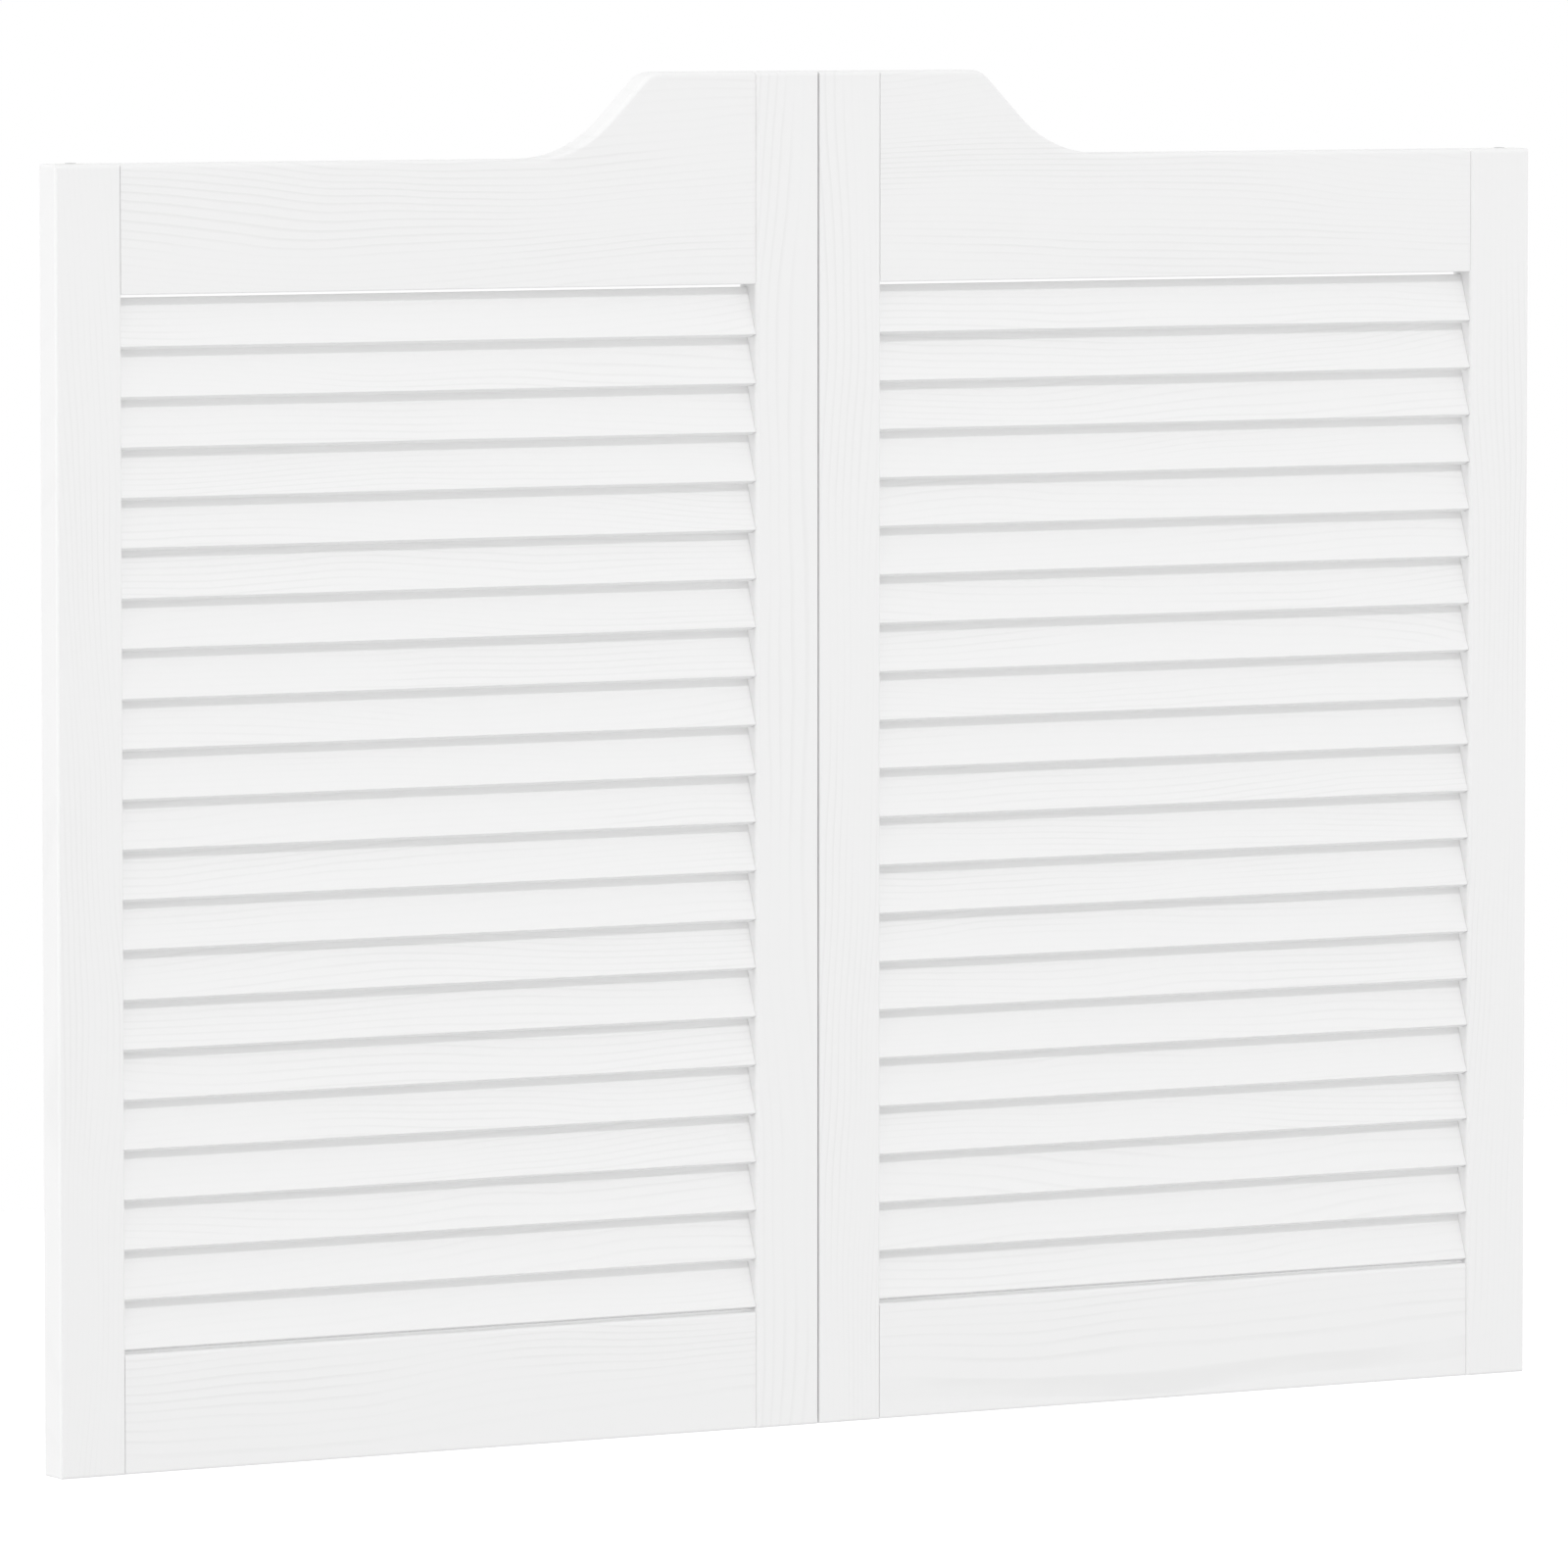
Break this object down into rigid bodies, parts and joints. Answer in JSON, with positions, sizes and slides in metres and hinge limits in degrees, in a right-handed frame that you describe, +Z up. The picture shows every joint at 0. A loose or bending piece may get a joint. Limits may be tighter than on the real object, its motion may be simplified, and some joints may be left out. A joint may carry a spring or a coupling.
{
  "type": "cafe swinging doors",
  "caption": "Louvred cafe swinging doors in white painted pine, with leaves that turn both ways on hidden pivots and a top edge that rises in a curve to the meeting stiles.",
  "frame": {"origin": "middle of the doorway, mid-thickness of the closed leaves, level with the outer ends of the lower pivot pins", "axes": "+X to the right across the doorway, +Y to the back, +Z up; the front is -Y"},
  "size_m": [1.07, 0.022, 0.8505],
  "materials": {
    "painted_pine": "white satin paint over close-grained pine, the grain showing faintly through",
    "dowel_beech": "bare turned beech",
    "pin_steel": "bright zinc plate",
    "bush_nylon": "natural nylon"
  },
  "bodies": {
    "pivot_pins": {"left_lower_pivot_pin": "pin_steel", "left_upper_pivot_pin": "pin_steel", "right_lower_pivot_pin": "pin_steel", "right_upper_pivot_pin": "pin_steel"},
    "left_leaf": {"left_hinge_stile": "painted_pine", "left_meeting_stile": "painted_pine", "left_top_rail": "painted_pine", "left_bottom_rail": "painted_pine", "left_dowels": "dowel_beech", "left_pivot_bushes": "bush_nylon", "left_slat_01": "painted_pine", "left_slat_02": "painted_pine", "left_slat_03": "painted_pine", "left_slat_04": "painted_pine", "left_slat_05": "painted_pine", "left_slat_06": "painted_pine", "left_slat_07": "painted_pine", "left_slat_08": "painted_pine", "left_slat_09": "painted_pine", "left_slat_10": "painted_pine", "left_slat_11": "painted_pine", "left_slat_12": "painted_pine", "left_slat_13": "painted_pine", "left_slat_14": "painted_pine", "left_slat_15": "painted_pine", "left_slat_16": "painted_pine", "left_slat_17": "painted_pine", "left_slat_18": "painted_pine", "left_slat_19": "painted_pine", "left_slat_20": "painted_pine", "left_slat_21": "painted_pine"},
    "right_leaf": {"right_hinge_stile": "painted_pine", "right_meeting_stile": "painted_pine", "right_top_rail": "painted_pine", "right_bottom_rail": "painted_pine", "right_dowels": "dowel_beech", "right_pivot_bushes": "bush_nylon", "right_slat_01": "painted_pine", "right_slat_02": "painted_pine", "right_slat_03": "painted_pine", "right_slat_04": "painted_pine", "right_slat_05": "painted_pine", "right_slat_06": "painted_pine", "right_slat_07": "painted_pine", "right_slat_08": "painted_pine", "right_slat_09": "painted_pine", "right_slat_10": "painted_pine", "right_slat_11": "painted_pine", "right_slat_12": "painted_pine", "right_slat_13": "painted_pine", "right_slat_14": "painted_pine", "right_slat_15": "painted_pine", "right_slat_16": "painted_pine", "right_slat_17": "painted_pine", "right_slat_18": "painted_pine", "right_slat_19": "painted_pine", "right_slat_20": "painted_pine", "right_slat_21": "painted_pine"}
  },
  "joints": [
    {"name": "left_leaf_swing", "type": "hinge", "parent": "pivot_pins", "child": "left_leaf", "pos_m": [-0.51895, 0, 0], "axis": [0, 0, -1], "range_deg": [-90, 90], "stiffness_Nm_per_rad": 0.25},
    {"name": "right_leaf_swing", "type": "hinge", "parent": "pivot_pins", "child": "right_leaf", "pos_m": [0.51895, 0, 0], "axis": [0, 0, 1], "range_deg": [-90, 90], "stiffness_Nm_per_rad": 0.25}
  ]
}
